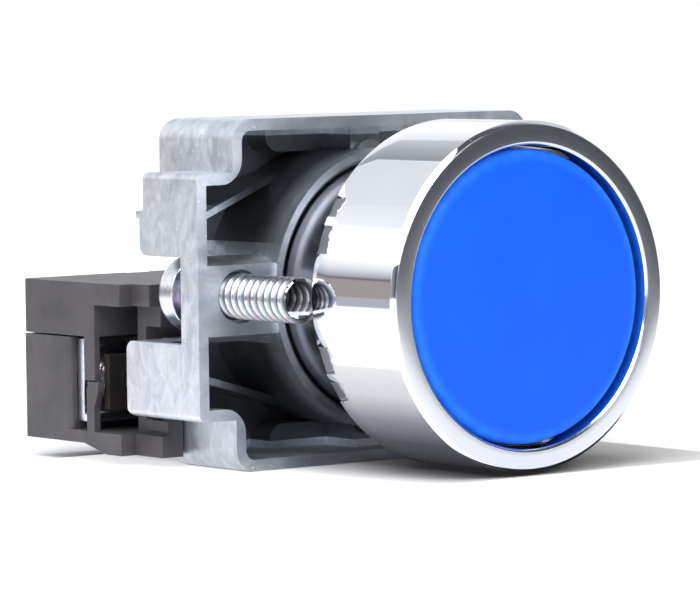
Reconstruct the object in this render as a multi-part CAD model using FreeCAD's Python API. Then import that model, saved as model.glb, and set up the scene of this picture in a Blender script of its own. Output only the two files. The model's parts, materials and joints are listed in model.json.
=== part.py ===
import FreeCAD, Part
import math
import os

# Industrial push button for a 22 mm panel hole, in millimetres.
# The button's axis is Y. The front points to -Y, the back of the panel is +Y, and +Z is up.
# The origin is on the axis, in the plane where the panel's front face bears on the head.

V = FreeCAD.Vector

# ---------------------------------------------------------------- driving sizes
# clearances and cutting allowances
RUNNING_GAP = 0.35      # moving round piece to the piece around it
SLIDE_GAP = 0.1         # moving flat-sided piece to its guide
THREAD_GAP = 0.1        # screw to its tapped hole, on the radius
SEAT_GAP = 0.05         # fixed piece to the piece that it sits in
LOOSE_GAP = 0.3         # spring or leg to the bore around it
JOIN = 0.5              # how far a joined shape runs into its neighbour
OVER = 1.0              # how far a cutting shape runs past the face it cuts
FLOOR_JOIN = 0.1        # how far a thin web runs into a floor or a wall

# barrel
BARREL_RADIUS = 10.95
BARREL_WALL = 1.55
BARREL_NECK_STEP = 0.75
BARREL_FLANGE_THICKNESS = 1.4
BARREL_FLANGE_LIP = 1.5
LEDGE_TO_CATCH = 2.2
SPRING_LEDGE_THICKNESS = 1.2

# bayonet between the barrel and the collar
BAYONET_HALF_ANGLE = 32.0
BAYONET_GAP = 0.2
BAYONET_CATCH_THICKNESS = 1.6
BAYONET_LUG_THICKNESS = 1.6
BAYONET_CATCH_BITE = 0.8
CATCH_TO_COLLAR_REAR = 5.2

# bezel
BEZEL_FLANGE_GAP = 0.28
BEZEL_WALL = 2.02
BEZEL_FLOOR = 2.0
BEZEL_FRONT_CHAMFER = 0.4
BEZEL_WELL_CHAMFER = 0.2
BEZEL_REAR_CHAMFER = 0.08
NOTCH_DEPTH = 0.55
NOTCHES = ((20.1, 9.6, 1.45), (31.6, 7.2, 1.25))   # middle angle, width in degrees, length

# panel gasket
GASKET_THICKNESS = 1.2
GASKET_WIDTH = 2.0

# clip and seal inside the barrel
CLIP_TO_BARREL_FRONT = 4.3
CLIP_THICKNESS = 0.9
CLIP_GROOVE_DEPTH = 0.5
CLIP_OPENING = 7.0
CLIP_SPLIT = 6.0
SEAL_LENGTH = 3.5
SEAL_WALL = 1.2
SEAL_LIP = 0.6
SEAL_LIP_GAP = 0.15

# cap
CAP_TRAVEL = 4.3
CAP_LENGTH = 2.9
CAP_CROWN = 0.45
CAP_EDGE_ROUND = 0.8
CAP_FACE_THICKNESS = 1.6
CAP_WALL = 1.4
CAP_CLEAR_UNDER = 0.4
CAP_PRONG_RADIUS = 4.2
CAP_PRONG_LENGTH = 4.0

# plunger of the head
STEM_RADIUS = 5.6
SOCKET_FLOOR = 1.0
DISC_THICKNESS = 1.6
DISC_STOP_GAP = 0.2
LEG_WIDTH = 4.4
LEG_THICKNESS = 2.0
LEG_SPRING_GAP = 0.39
LEG_TO_COLLAR_REAR = 3.6

# return spring of the head
RETURN_WIRE = 0.7
RETURN_COILS = 4.5

# fixing collar
COLLAR_FRONT_Y = 8.8
COLLAR_DEPTH = 10.6
COLLAR_OVER_TUBE = 2.85
COLLAR_UNDER_BLOCK = 1.7
COLLAR_BESIDE_TUBE = 4.05
COLLAR_BESIDE_SCREW = 4.4
COLLAR_STEP_Z = 10.5
COLLAR_WALL = 1.0
COLLAR_FLOOR = 1.1
COLLAR_CORNER = 1.9
COLLAR_STEP_CORNER = 1.2
COLLAR_EAR_CORNER = 0.6
COLLAR_REAR_ROUND = 0.9
UPPER_EAR_TO_REAR = 2.2
UPPER_EAR_REAR_STEP = 0.6
UPPER_EAR_STEP_HEIGHT = 3.6
HEAD_TO_UPPER_EAR = 0.1
HEAD_TO_LOWER_EAR = 0.7
FLANGE_THICKNESS = 2.5
FLANGE_SLOPE = 0.7
TUBE_GAP = 0.2
TUBE_WALL = 1.0
TUBE_PROUD = 0.4
TUBE_LEAD_IN = 0.4
RIB_THICKNESS = 0.6
RIB_TUBE_JOIN = 0.3
RIB_UNDER_STEP = 3.7
RIB_TUBE_ANGLE = 54.0
RIB_TUBE_TO_REAR = 4.4
KEEL_WIDTH = 3.2
KEEL_BOSS_RADIUS = 1.55
KEEL_BOSS_LENGTH = 0.7
KEEL_BOSS_INSET = 0.85
TAB_WIDTH = 6.1
TAB_DROP = 2.15
TAB_CORNER = 1.5
TAB_TO_REAR = 3.9

# clamp screws
CLAMP_SCREW_RADIUS = 1.95
CLAMP_TIP_Y = 0.1
CLAMP_TIP_CHAMFER = 0.2
CLAMP_HEAD_RADIUS = 3.3
CLAMP_HEAD_HEIGHT = 2.5
CLAMP_HEAD_TO_FLANGE = 2.9
CLAMP_HEAD_TO_TUBE = 0.15
CLAMP_HEAD_CROWN = 0.9
CLAMP_SLOT_WIDTH = 1.0
CLAMP_SLOT_DEPTH = 1.3
CLAMP_SLOT_EDGE = 1.25
CLAMP_LEAD_IN = 0.35
CLAMP_LEAD_IN_DEPTH = 0.8
CLAMP_BACK_OUT = 1.4

# terminal screws
TERMINAL_SCREW_RADIUS = 1.75
TERMINAL_TIP_PROUD = 0.2
TERMINAL_TIP_HOLE_GAP = 0.35
TERMINAL_HEAD_RADIUS = 3.2
TERMINAL_HEAD_HEIGHT = 2.2
TERMINAL_HEAD_CROWN = 0.6
TERMINAL_SLOT_WIDTH = 0.9
TERMINAL_SLOT_DEPTH = 1.1
TERMINAL_HEAD_GAP = 0.25

# contact block
BLOCK_TO_COLLAR = 1.0
BLOCK_DEPTH = 14.5
BLOCK_TOP_Z = 0.75
BAND_BOTTOM_Z = -1.2
BRIM_BOTTOM_Z = -4.0
BLOCK_WALL = 1.2
BLOCK_SPLIT_OFFSET = 0.05
BLOCK_SPLIT_GAP = 0.1
BLOCK_KEEL_DROP = 0.8
BLOCK_KEEL_LENGTH = 5.6
BLOCK_KEEL_SLOPE = 0.6
SILL_UNDER_WELL = 0.9
SILL_THICKNESS = 1.05
END_RECESS = 2.7
NOSE_INSET = 1.5
NOSE_TO_TUBE = 0.65
NOSE_TO_EAR = 1.0
STRUT_FROM_FRONT = 3.9
STRUT_WIDTH = 1.6
STRUT_THICKNESS = 0.65
HOOK_DROP = 2.2
HOOK_OVERHANG = 0.5
HOOK_CHAMFER = 0.6
HOOK_LIP = 0.8
HOOK_DRAFT = 0.1
HOOK_POST_INSET = (0.15, 0.35)                     # in front, behind
TOWER_OUTER_WALL = 0.75
TOWER_INNER_WALL = 0.35
TOWER_TOP_WALL = 0.33
TOWER_BEHIND_SADDLE = 0.1
TOWER_EDGE_ROUND = 0.6
TOWER_BRIM_GAP = 0.12
TOWER_SILL_JOIN = 0.2
CHAMBER_END_WALL = 2.4
CHEEK_LENGTH = 4.0
CHEEK_TO_COLLAR = 0.1
CHEEK_TO_STEP = 0.5
CHEEK_PROUD = 0.6
CHEEK_RAIL_LENGTH = 2.0
CHEEK_GROOVE_DROP = 0.9
CHEEK_GROOVE_SIZE = 0.3
GUIDE_WALL = 1.5
GUIDE_LENGTH = 1.8
CLIP_TONGUE_X = 10.6
CLIP_TONGUE_WIDTH = 3.0
CLIP_TONGUE_THICKNESS = 0.7
CLIP_TONGUE_RISE = 0.1
CLIP_TONGUE_REACH = 1.4
CLIP_TONGUE_BARB = 0.4
CLIP_TONGUE_FOOT = (0.4, 1.5)                      # below, above
COVER_NOTCH_X = (-9.2, -6.6)
COVER_NOTCH_DEPTH = 0.6
COVER_NOTCH_DROP = 0.5

# pusher, bridge and springs of the contact block
PUSHER_WIDTH = 5.0
PUSHER_HEIGHT = 3.6
PUSHER_START_GAP = 0.1
CAGE_WIDTH = 6.0
CAGE_BAR = 1.2
CAGE_FRONT_BAR = 1.0
CAGE_REAR_BAR = 1.2
CAGE_WINDOW_HEIGHT = 4.8
CAGE_WINDOW_LENGTH = 3.7
CAGE_OVER_SILL = 0.5     # at least
BRIDGE_END_GAP = 1.8
BRIDGE_THICKNESS = 0.8
BRIDGE_SIDE_GAP = 0.2
BRIDGE_OVERTRAVEL = 1.7
BRIDGE_GAP_LEFT = 0.05
TIP_RADIUS = 1.1
TIP_HEIGHT = 0.5
TIP_FROM_BRIDGE_END = 1.5
TIP_TO_STRIP_END = 0.2
BRIDGE_SPRING_RADIUS = 1.7
BRIDGE_SPRING_WIRE = 0.3
BRIDGE_SPRING_COILS = 3.0
PUSHER_SPRING_RADIUS = 2.4
PUSHER_SPRING_WIRE = 0.38
PUSHER_SPRING_COILS = 3.5

# strips and saddles
STRIP_THICKNESS = 0.8
STRIP_WIDTH = 4.8
STRIP_END_INSET = 0.8
STRIP_FROM_FRONT = 2.8
SADDLE_FROM_FRONT = 6.7
SADDLE_THICKNESS = 0.9
SADDLE_TO_STRUT = 0.15
SADDLE_TO_BRIM = 0.25
SADDLE_LIP = 1.0
SADDLE_LIP_THICKNESS = 0.7
SADDLE_LIP_JOIN = 0.1

# ---------------------------------------------------------------- sizes that follow
# places along the axis
collar_rear_y = COLLAR_FRONT_Y + COLLAR_DEPTH
floor_y = collar_rear_y - COLLAR_FLOOR
flange_rear_y = COLLAR_FRONT_Y + FLANGE_THICKNESS
catch_y = collar_rear_y - CATCH_TO_COLLAR_REAR
lug_y = catch_y + BAYONET_CATCH_THICKNESS + BAYONET_GAP
ledge_y = catch_y - LEDGE_TO_CATCH
barrel_front_y = -BEZEL_FLOOR - BARREL_FLANGE_THICKNESS
barrel_rear_y = lug_y + BAYONET_LUG_THICKNESS
clip_y = barrel_front_y + CLIP_TO_BARREL_FRONT
disc_front_y = clip_y + CLIP_THICKNESS + DISC_STOP_GAP
disc_rear_y = disc_front_y + DISC_THICKNESS
cap_skirt_y = barrel_front_y - CAP_CLEAR_UNDER - CAP_TRAVEL
cap_front_y = cap_skirt_y - CAP_LENGTH
cap_inner_y = cap_front_y + CAP_FACE_THICKNESS
leg_end_y = collar_rear_y - LEG_TO_COLLAR_REAR
clamp_head_front_y = flange_rear_y + CLAMP_HEAD_TO_FLANGE
clamp_head_rear_y = clamp_head_front_y + CLAMP_HEAD_HEIGHT

# barrel, bezel, cap and plunger across the axis
barrel_bore = BARREL_RADIUS - BARREL_WALL
barrel_hole = BARREL_RADIUS + SEAT_GAP
neck_radius = BARREL_RADIUS - BARREL_NECK_STEP
flange_radius = BARREL_RADIUS + BARREL_FLANGE_LIP
well_radius = flange_radius + BEZEL_FLANGE_GAP
bezel_radius = well_radius + BEZEL_WALL
gasket_outer = barrel_hole + GASKET_WIDTH
cap_radius = well_radius - RUNNING_GAP
disc_radius = barrel_bore - LOOSE_GAP
return_radius = barrel_bore - LOOSE_GAP
leg_reach = return_radius - RETURN_WIRE - LEG_SPRING_GAP
leg_outer_z = math.sqrt(leg_reach ** 2 - (LEG_WIDTH / 2) ** 2)
leg_inner_z = leg_outer_z - LEG_THICKNESS
ledge_bore = leg_reach + LOOSE_GAP
pusher_z = -(leg_inner_z + leg_outer_z) / 2

# contact block: terminals and heights
terminal_well = TERMINAL_HEAD_RADIUS + TERMINAL_HEAD_GAP
terminal_z = BRIM_BOTTOM_Z - TOWER_BRIM_GAP - TOWER_TOP_WALL - terminal_well
split_z = terminal_z + BLOCK_SPLIT_OFFSET
cage_low_z = pusher_z - CAGE_WINDOW_HEIGHT / 2 - CAGE_BAR
sill_top_z = min(terminal_z - terminal_well - SILL_UNDER_WELL, cage_low_z - CAGE_OVER_SILL)
block_bottom_z = sill_top_z - SILL_THICKNESS
keel_z = block_bottom_z - BLOCK_KEEL_DROP
tongue_z = block_bottom_z + CLIP_TONGUE_RISE

# fixing collar across the axis
tube_bore = BARREL_RADIUS + TUBE_GAP
tube_radius = tube_bore + TUBE_WALL
clamp_x = tube_radius + CLAMP_HEAD_TO_TUBE + CLAMP_HEAD_RADIUS
collar_side = clamp_x + COLLAR_BESIDE_SCREW
narrow_side = tube_radius + COLLAR_BESIDE_TUBE
collar_top = max(tube_radius + COLLAR_OVER_TUBE, COLLAR_UNDER_BLOCK - block_bottom_z)
bay_top_z = CLAMP_HEAD_RADIUS + HEAD_TO_UPPER_EAR
bay_bottom_z = -CLAMP_HEAD_RADIUS - HEAD_TO_LOWER_EAR
ear_step_z = bay_top_z + UPPER_EAR_STEP_HEIGHT
ear_rear_y = collar_rear_y - UPPER_EAR_TO_REAR

# contact block: lengths and places along the axis
block_side = collar_side
block_front_y = collar_rear_y + BLOCK_TO_COLLAR
block_rear_y = block_front_y + BLOCK_DEPTH
chamber_front_y = block_front_y + BLOCK_WALL
chamber_rear_y = block_rear_y - BLOCK_WALL
recess_x = block_side - END_RECESS
nose_front_y = clamp_head_rear_y + CLAMP_BACK_OUT
nose_inner_x = tube_radius + NOSE_TO_TUBE
nose_outer_x = block_side - NOSE_INSET
terminal_x = block_side - TOWER_OUTER_WALL - terminal_well
tower_inner_x = terminal_x - TOWER_INNER_WALL - terminal_well
chamber_half = tower_inner_x - CHAMBER_END_WALL
cheek_front_y = block_front_y - CHEEK_LENGTH
cheek_top_z = -COLLAR_STEP_Z - CHEEK_TO_STEP
strut_y = block_front_y + STRUT_FROM_FRONT
strip_y = block_front_y + STRIP_FROM_FRONT
saddle_y = block_front_y + SADDLE_FROM_FRONT
saddle_half_length = block_side - STRUT_THICKNESS - SADDLE_TO_STRUT - terminal_x
saddle_half_width = BRIM_BOTTOM_Z - terminal_z - SADDLE_TO_BRIM
head_y = saddle_y + SADDLE_THICKNESS
tower_y = head_y + TOWER_BEHIND_SADDLE

# pusher, bridge and strips
pusher_front_y = leg_end_y + PUSHER_START_GAP
cage_front_y = chamber_front_y + PUSHER_START_GAP
window_front_y = cage_front_y + CAGE_FRONT_BAR
window_rear_y = window_front_y + CAGE_WINDOW_LENGTH
cage_rear_y = window_rear_y + CAGE_REAR_BAR
bridge_y = window_rear_y - BRIDGE_THICKNESS
bridge_half = chamber_half - BRIDGE_END_GAP
tip_x = bridge_half - TIP_FROM_BRIDGE_END
bridge_travel = CAP_TRAVEL - BRIDGE_OVERTRAVEL
fixed_tip_y = window_rear_y + TIP_HEIGHT + bridge_travel + BRIDGE_GAP_LEFT
strip_inner_y = fixed_tip_y + TIP_HEIGHT


# ---------------------------------------------------------------- shape helpers
def rod(radius, y0, y1, x=0.0, z=0.0):
    return Part.makeCylinder(radius, y1 - y0, V(x, y0, z), V(0, 1, 0))


def ring(outer, inner, y0, y1):
    return rod(outer, y0, y1).cut(rod(inner, y0 - OVER, y1 + OVER))


def block(x0, x1, y0, y1, z0, z1):
    return Part.makeBox(x1 - x0, y1 - y0, z1 - z0, V(x0, y0, z0))


def mirrored(shape):
    return shape.mirror(V(0, 0, 0), V(1, 0, 0))


def both_sides(shape):
    return shape.fuse(mirrored(shape))


def fused(shapes):
    return shapes[0].multiFuse(shapes[1:]).removeSplitter()


def turned(points):
    """A solid of revolution about Y, from (radius, y) corners."""
    wire = Part.makePolygon([V(r, y, 0) for r, y in points + points[:1]])
    return Part.Face(wire).revolve(V(0, 0, 0), V(0, 1, 0), 360)


def rounded_outline(corners, y):
    """A closed wire in the plane y, from (x, z, corner radius)."""
    edges = []
    last = None
    first = None
    count = len(corners)
    for i, (x, z, radius) in enumerate(corners):
        here = V(x, y, z)
        before = V(corners[i - 1][0], y, corners[i - 1][1])
        after = V(corners[(i + 1) % count][0], y, corners[(i + 1) % count][1])
        to_before = (before - here).normalize()
        to_after = (after - here).normalize()
        if radius > 0:
            half = to_before.getAngle(to_after) / 2
            reach = radius / math.tan(half)
            start = here + to_before * reach
            end = here + to_after * reach
            inward = (to_before + to_after).normalize()
            middle = here + inward * (radius / math.sin(half) - radius)
            arc = Part.Arc(start, middle, end).toShape()
        else:
            start = end = here
            arc = None
        if last is not None:
            edges.append(Part.makeLine(last, start))
        else:
            first = start
        if arc is not None:
            edges.append(arc)
        last = end
    edges.append(Part.makeLine(last, first))
    return Part.Wire(edges)


def prism(corners, y0, y1):
    return Part.Face(rounded_outline(corners, y0)).extrude(V(0, y1 - y0, 0))


def coil(radius, wire, coils, y0, y1, x=0.0, z=0.0):
    """A compression spring along Y that fills y0 to y1; radius is its outer radius."""
    mean = radius - wire / 2
    height = y1 - y0 - wire
    helix = Part.makeLongHelix(height / coils, height, mean)
    section = Part.Wire(Part.makeCircle(wire / 2, V(mean, 0, 0), V(0, 1, 0)))
    spring = Part.Wire(helix).makePipeShell([section], True, True)
    spring.rotate(V(0, 0, 0), V(1, 0, 0), -90)
    spring.translate(V(x, y0 + wire / 2, z))
    return spring


def sector(radius, y0, y1, half_angle):
    """A wedge of a disc, centred on the -X direction."""
    far = 2 * radius
    spread = far * math.tan(math.radians(half_angle))
    fan = prism([(0, 0, 0), (-far, -spread, 0), (-far, spread, 0)], y0, y1)
    return rod(radius, y0, y1).common(fan)


def pan_head(radius, height, crown, y0, x, z):
    """A pan head that stands on the plane y0, with a rounded top edge towards +Y."""
    head = rod(radius, y0, y0 + height, x, z)
    top_face = max(head.Faces, key=lambda face: face.CenterOfMass.y)
    return head.makeFillet(crown, top_face.Edges)


def save(name, shape):
    shape.exportStep("parts/" + name + ".step")


# ---------------------------------------------------------------- head
def bezel():
    front = cap_front_y
    body = turned([
        (well_radius + BEZEL_WELL_CHAMFER, front),
        (bezel_radius - BEZEL_FRONT_CHAMFER, front),
        (bezel_radius, front + BEZEL_FRONT_CHAMFER),
        (bezel_radius, -BEZEL_REAR_CHAMFER),
        (bezel_radius - BEZEL_REAR_CHAMFER, 0),
        (gasket_outer + SEAT_GAP, 0),
        (gasket_outer + SEAT_GAP, -GASKET_THICKNESS),
        (barrel_hole, -GASKET_THICKNESS),
        (barrel_hole, -BEZEL_FLOOR),
        (well_radius, -BEZEL_FLOOR),
        (well_radius, front + BEZEL_WELL_CHAMFER),
    ])
    for angle, width, length in NOTCHES:
        for side in (1, -1):
            notch = rear_notch(angle, width, length, side)
            body = body.cut(notch).cut(mirrored(notch))
    return body


def rear_notch(angle, width, length, side):
    """A saw-tooth nick in the rear edge, deep on the side away from the middle line."""
    reach = bezel_radius * math.radians(width) / 2
    start = bezel_radius - NOTCH_DEPTH
    corners = [V(-start, OVER, -reach), V(-start, OVER, reach), V(-start, 0, reach),
               V(-start, -length, reach), V(-start, 0, -reach)]
    wedge = Part.Face(Part.makePolygon(corners + corners[:1])).extrude(V(-2 * NOTCH_DEPTH, 0, 0))
    wedge.rotate(V(0, 0, 0), V(0, 1, 0), angle)
    if side < 0:
        wedge = wedge.mirror(V(0, 0, 0), V(0, 0, 1))
    return wedge


def head_barrel():
    groove = barrel_bore + CLIP_GROOVE_DEPTH
    ledge_rear = ledge_y + SPRING_LEDGE_THICKNESS
    neck_y = catch_y - BAYONET_GAP
    body = turned([
        (barrel_bore, barrel_front_y),
        (flange_radius, barrel_front_y),
        (flange_radius, -BEZEL_FLOOR),
        (BARREL_RADIUS, -BEZEL_FLOOR),
        (BARREL_RADIUS, neck_y),
        (neck_radius, neck_y),
        (neck_radius, barrel_rear_y),
        (barrel_bore, barrel_rear_y),
        (barrel_bore, ledge_rear),
        (ledge_bore, ledge_rear),
        (ledge_bore, ledge_y),
        (barrel_bore, ledge_y),
        (barrel_bore, clip_y + CLIP_THICKNESS),
        (groove, clip_y + CLIP_THICKNESS),
        (groove, clip_y),
        (barrel_bore, clip_y),
    ])
    inside = rod(neck_radius - LOOSE_GAP, lug_y - OVER, barrel_rear_y + OVER)
    lug = sector(BARREL_RADIUS, lug_y, barrel_rear_y, BAYONET_HALF_ANGLE).cut(inside)
    return fused([body, lug, mirrored(lug)])


def panel_gasket():
    return ring(gasket_outer, barrel_hole, -GASKET_THICKNESS, 0)


def cap_seal():
    lip_radius = STEM_RADIUS + SEAL_LIP_GAP
    rear = clip_y
    return turned([
        (barrel_bore, rear - SEAL_LENGTH),
        (barrel_bore, rear),
        (lip_radius, rear),
        (lip_radius, rear - SEAL_LIP),
        (barrel_bore - SEAL_WALL, rear - SEAL_LIP),
        (barrel_bore - SEAL_WALL, rear - SEAL_LENGTH),
    ])


def retaining_clip():
    outer = barrel_bore + CLIP_GROOVE_DEPTH
    clip = ring(outer, CLIP_OPENING, clip_y, clip_y + CLIP_THICKNESS)
    half = CLIP_SPLIT / 2
    split = block(-half, half, clip_y - OVER, clip_y + CLIP_THICKNESS + OVER, -outer - OVER, 0)
    return clip.cut(split)


def button_cap():
    crown_y = cap_front_y + CAP_CROWN
    flat = cap_radius - CAP_EDGE_ROUND
    knee = CAP_EDGE_ROUND * (1 - math.sqrt(0.5))
    dome_middle = V(flat / 2, cap_front_y + CAP_CROWN / 4, 0)
    dome = Part.Arc(V(0, cap_front_y, 0), dome_middle, V(flat, crown_y, 0))
    edge_end = V(cap_radius, crown_y + CAP_EDGE_ROUND, 0)
    edge = Part.Arc(V(flat, crown_y, 0), V(cap_radius - knee, crown_y + knee, 0), edge_end)
    inner = cap_radius - CAP_WALL
    prong_y = cap_inner_y + CAP_PRONG_LENGTH
    corners = [
        edge_end,
        V(cap_radius, cap_skirt_y, 0),
        V(inner, cap_skirt_y, 0),
        V(inner, cap_inner_y, 0),
        V(CAP_PRONG_RADIUS, cap_inner_y, 0),
        V(CAP_PRONG_RADIUS, prong_y, 0),
        V(0, prong_y, 0),
        V(0, cap_front_y, 0),
    ]
    lines = [Part.makeLine(a, b) for a, b in zip(corners, corners[1:])]
    wire = Part.Wire([dome.toShape(), edge.toShape()] + lines)
    return Part.Face(wire).revolve(V(0, 0, 0), V(0, 1, 0), 360)


def plunger():
    socket = CAP_PRONG_RADIUS + SEAT_GAP
    body = turned([
        (socket, cap_inner_y),
        (STEM_RADIUS, cap_inner_y),
        (STEM_RADIUS, disc_front_y),
        (disc_radius, disc_front_y),
        (disc_radius, disc_rear_y),
        (0, disc_rear_y),
        (0, disc_front_y - SOCKET_FLOOR),
        (socket, disc_front_y - SOCKET_FLOOR),
    ])
    half = LEG_WIDTH / 2
    upper = block(-half, half, disc_rear_y, leg_end_y, leg_inner_z, leg_outer_z)
    lower = block(-half, half, disc_rear_y, leg_end_y, -leg_outer_z, -leg_inner_z)
    return fused([body, upper, lower])


def return_spring():
    return coil(return_radius, RETURN_WIRE, RETURN_COILS, disc_rear_y, ledge_y)


# ---------------------------------------------------------------- fixing collar
def collar_outline(inset):
    """The stepped front outline of the collar, pulled in by inset."""
    top = collar_top - inset
    narrow = narrow_side - inset
    step = COLLAR_STEP_Z - inset
    wide = collar_side - inset
    corner = COLLAR_CORNER - inset
    step_corner = COLLAR_STEP_CORNER + inset
    ear_corner = max(COLLAR_EAR_CORNER - inset, 0)
    quarter = [(narrow, top, corner), (narrow, step, step_corner), (wide, step, ear_corner)]
    corners = []
    for sx, sz in ((1, 1), (1, -1), (-1, -1), (-1, 1)):
        part = [(sx * x, sz * z, r) for x, z, r in quarter]
        corners += part if sx * sz > 0 else part[::-1]
    return corners


def rounded_rear_box(x0, x1, z0, z1, y1, round_z0, round_z1):
    """A box of the collar that runs from its front to y1, with rounded rear edges."""
    box = block(x0, x1, COLLAR_FRONT_Y, y1, z0, z1)
    edges = []
    for edge in box.Edges:
        bound = edge.BoundBox
        if bound.YMin < y1 - 1e-6 or bound.XLength < 1e-6:
            continue
        if (round_z1 and bound.ZMin > z1 - 1e-6) or (round_z0 and bound.ZMax < z0 + 1e-6):
            edges.append(edge)
    return box.makeFillet(COLLAR_REAR_ROUND, edges) if edges else box


def collar_envelope():
    """The outside of the collar with no hollows: the stepped outline, cut to its rear faces."""
    outline = prism(collar_outline(0), COLLAR_FRONT_Y, collar_rear_y)
    far = collar_side + OVER
    rear = [
        rounded_rear_box(-narrow_side, narrow_side, -collar_top, collar_top, collar_rear_y, True, True),
        rounded_rear_box(-far, far, -COLLAR_STEP_Z, bay_bottom_z, collar_rear_y, True, True),
        rounded_rear_box(-far, far, bay_top_z, ear_step_z, ear_rear_y, True, False),
        block(-far, far, COLLAR_FRONT_Y, ear_rear_y - UPPER_EAR_REAR_STEP,
              ear_step_z, COLLAR_STEP_Z),
        block(-far, far, COLLAR_FRONT_Y, flange_rear_y,
              bay_bottom_z, bay_top_z),
    ]
    return outline.common(fused(rear))


def collar_pockets():
    """The hollows that open to the front, round the tube."""
    wall = COLLAR_WALL
    front = COLLAR_FRONT_Y - OVER
    hollow = prism(collar_outline(wall), front, collar_rear_y + OVER)
    far = collar_side + OVER
    upper_low = bay_top_z - FLANGE_SLOPE
    lower_high = bay_bottom_z + FLANGE_SLOPE
    ear_floor = ear_rear_y - UPPER_EAR_REAR_STEP - COLLAR_FLOOR
    upper = block(-far, far, front, ear_floor, upper_low, collar_top)
    upper_deep = block(-narrow_side + wall, narrow_side - wall, COLLAR_FRONT_Y, floor_y,
                       upper_low, collar_top)
    lower = block(-far, far, front, floor_y, -collar_top, lower_high)
    return hollow.common(fused([upper, upper_deep, lower]))


def screw_bays():
    """The room behind the flange, open to the side and the back, where the screws' heads lie."""
    far = collar_side + OVER
    bay = block(-far, far, flange_rear_y, collar_rear_y + OVER, bay_bottom_z, bay_top_z)
    return bay.cut(rod(tube_radius, 0, collar_rear_y + 2 * OVER))


def flange_slopes():
    """Wedges that turn the pocket walls beside the flange into slopes towards the front."""
    y0 = COLLAR_FRONT_Y
    y1 = flange_rear_y
    side = collar_side - COLLAR_WALL
    wedges = []
    for z, sign in ((bay_top_z, 1), (bay_bottom_z, -1)):
        low = z - sign * FLANGE_SLOPE
        corners = [V(-side, y0, low), V(-side, y1, low), V(-side, y1, z)]
        wedges.append(Part.Face(Part.makePolygon(corners + corners[:1])).extrude(V(2 * side, 0, 0)))
    return wedges


def slanted_rib(sign):
    """A thin rib from the side wall to the tube, its front edge falling back towards the tube."""
    wall_x = -collar_side + COLLAR_WALL / 2
    angle = math.radians(RIB_TUBE_ANGLE)
    tube_x = -tube_radius * math.cos(angle) + RIB_TUBE_JOIN
    tube_z = tube_radius * math.sin(angle)
    wall_z = COLLAR_STEP_Z - RIB_UNDER_STEP
    half = RIB_THICKNESS / 2
    corners = [
        (wall_x, wall_z - half, 0),
        (tube_x, tube_z - half, 0),
        (tube_x, tube_z + half, 0),
        (wall_x, wall_z + half, 0),
    ]
    rib = prism([(x, sign * z, r) for x, z, r in corners], COLLAR_FRONT_Y, floor_y + FLOOR_JOIN)
    far = collar_top
    front = COLLAR_FRONT_Y - OVER
    slope_end = collar_rear_y - RIB_TUBE_TO_REAR
    slope = [V(wall_x, COLLAR_FRONT_Y, -far), V(tube_x, slope_end, -far),
             V(tube_x, front, -far), V(wall_x, front, -far)]
    air = Part.Face(Part.makePolygon(slope + slope[:1])).extrude(V(0, 0, 2 * far))
    return rib.cut(air)


def keel(sign):
    """The middle web above or below the tube, with a round boss, and the two tabs beside it."""
    inner = tube_radius - TUBE_WALL / 2
    outer = collar_top - COLLAR_WALL / 2
    half = KEEL_WIDTH / 2
    low, high = sorted((sign * inner, sign * outer))
    web = block(-half, half, flange_rear_y, floor_y + FLOOR_JOIN, low, high)
    boss_z = sign * (tube_radius - KEEL_BOSS_INSET)
    boss_front = flange_rear_y - KEEL_BOSS_LENGTH
    boss = rod(KEEL_BOSS_RADIUS, boss_front, flange_rear_y + FLOOR_JOIN, 0, boss_z)
    tab_low = sign * (collar_top - COLLAR_WALL - TAB_DROP)
    tab = prism([
        (-half - TAB_WIDTH, sign * outer, 0),
        (-half - TAB_WIDTH, tab_low, TAB_CORNER),
        (0, tab_low, 0),
        (0, sign * outer, 0),
    ], collar_rear_y - TAB_TO_REAR, floor_y + FLOOR_JOIN)
    return [web, boss, tab, mirrored(tab)]


def fixing_collar():
    shell = collar_envelope().cut(collar_pockets())
    front = COLLAR_FRONT_Y - TUBE_PROUD
    catch_end = catch_y + BAYONET_CATCH_THICKNESS
    tube = rod(tube_radius, front, collar_rear_y)
    ribs = [slanted_rib(1), slanted_rib(-1)]
    ribs += [mirrored(rib) for rib in ribs]
    pieces = [shell, tube] + ribs + keel(1) + keel(-1) + flange_slopes()
    body = fused(pieces).cut(screw_bays())
    lead = Part.makeCone(tube_bore + TUBE_LEAD_IN, tube_bore, TUBE_LEAD_IN, V(0, front, 0), V(0, 1, 0))
    body = body.cut(rod(tube_bore, front - OVER, collar_rear_y + OVER)).cut(lead)
    catch = sector(tube_bore + TUBE_GAP, catch_y, catch_end, BAYONET_HALF_ANGLE)
    catch = catch.cut(rod(tube_bore - BAYONET_CATCH_BITE, catch_y - OVER, catch_end + OVER))
    body = fused([body, catch, mirrored(catch)])
    for x in (-clamp_x, clamp_x):
        body = body.cut(rod(CLAMP_SCREW_RADIUS + THREAD_GAP, 0, collar_rear_y + OVER, x, 0))
        lead_in = CLAMP_SCREW_RADIUS + CLAMP_LEAD_IN
        body = body.cut(rod(lead_in, 0, COLLAR_FRONT_Y + CLAMP_LEAD_IN_DEPTH, x, 0))
        body = body.cut(tongue_slot(x))
    return body


def tongue_slot(side):
    """The slot in the collar's floor that a clip tongue of the contact block goes through."""
    x = math.copysign(CLIP_TONGUE_X, side)
    half = CLIP_TONGUE_WIDTH / 2 + SLIDE_GAP
    low = tongue_z - SEAT_GAP
    high = tongue_z + CLIP_TONGUE_THICKNESS + SEAT_GAP
    return block(x - half, x + half, floor_y - OVER, collar_rear_y + OVER, low, high)


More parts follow.
